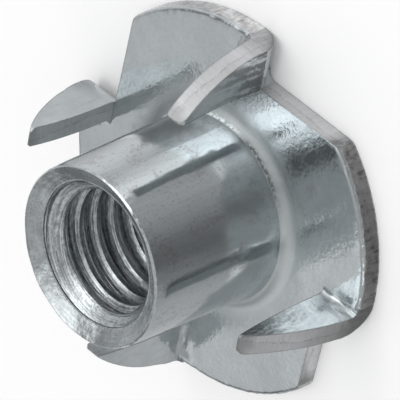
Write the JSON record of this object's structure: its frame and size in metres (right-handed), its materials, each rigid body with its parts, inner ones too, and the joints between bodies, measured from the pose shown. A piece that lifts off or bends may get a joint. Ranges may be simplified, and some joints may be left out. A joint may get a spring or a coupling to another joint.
{
  "type": "tee nut",
  "caption": "Pronged tee nut: a round flange with an internally threaded barrel and pointed prongs folded up from its rim, driven into wood to take a machine screw.",
  "frame": {"origin": "on the barrel's axis, in the plane of the flange's back face", "axes": "+Z along the barrel from the flange to its mouth; +X along the fold at the root of the first prong; +Y completes the right-handed frame"},
  "size_m": [0.022, 0.022, 0.0105],
  "materials": {
    "zinc_steel": "bright zinc plating on stamped sheet steel, satin on the flats and polished on the drawn barrel"
  },
  "bodies": {
    "root": {"tee_nut": "zinc_steel"}
  },
  "joints": []
}
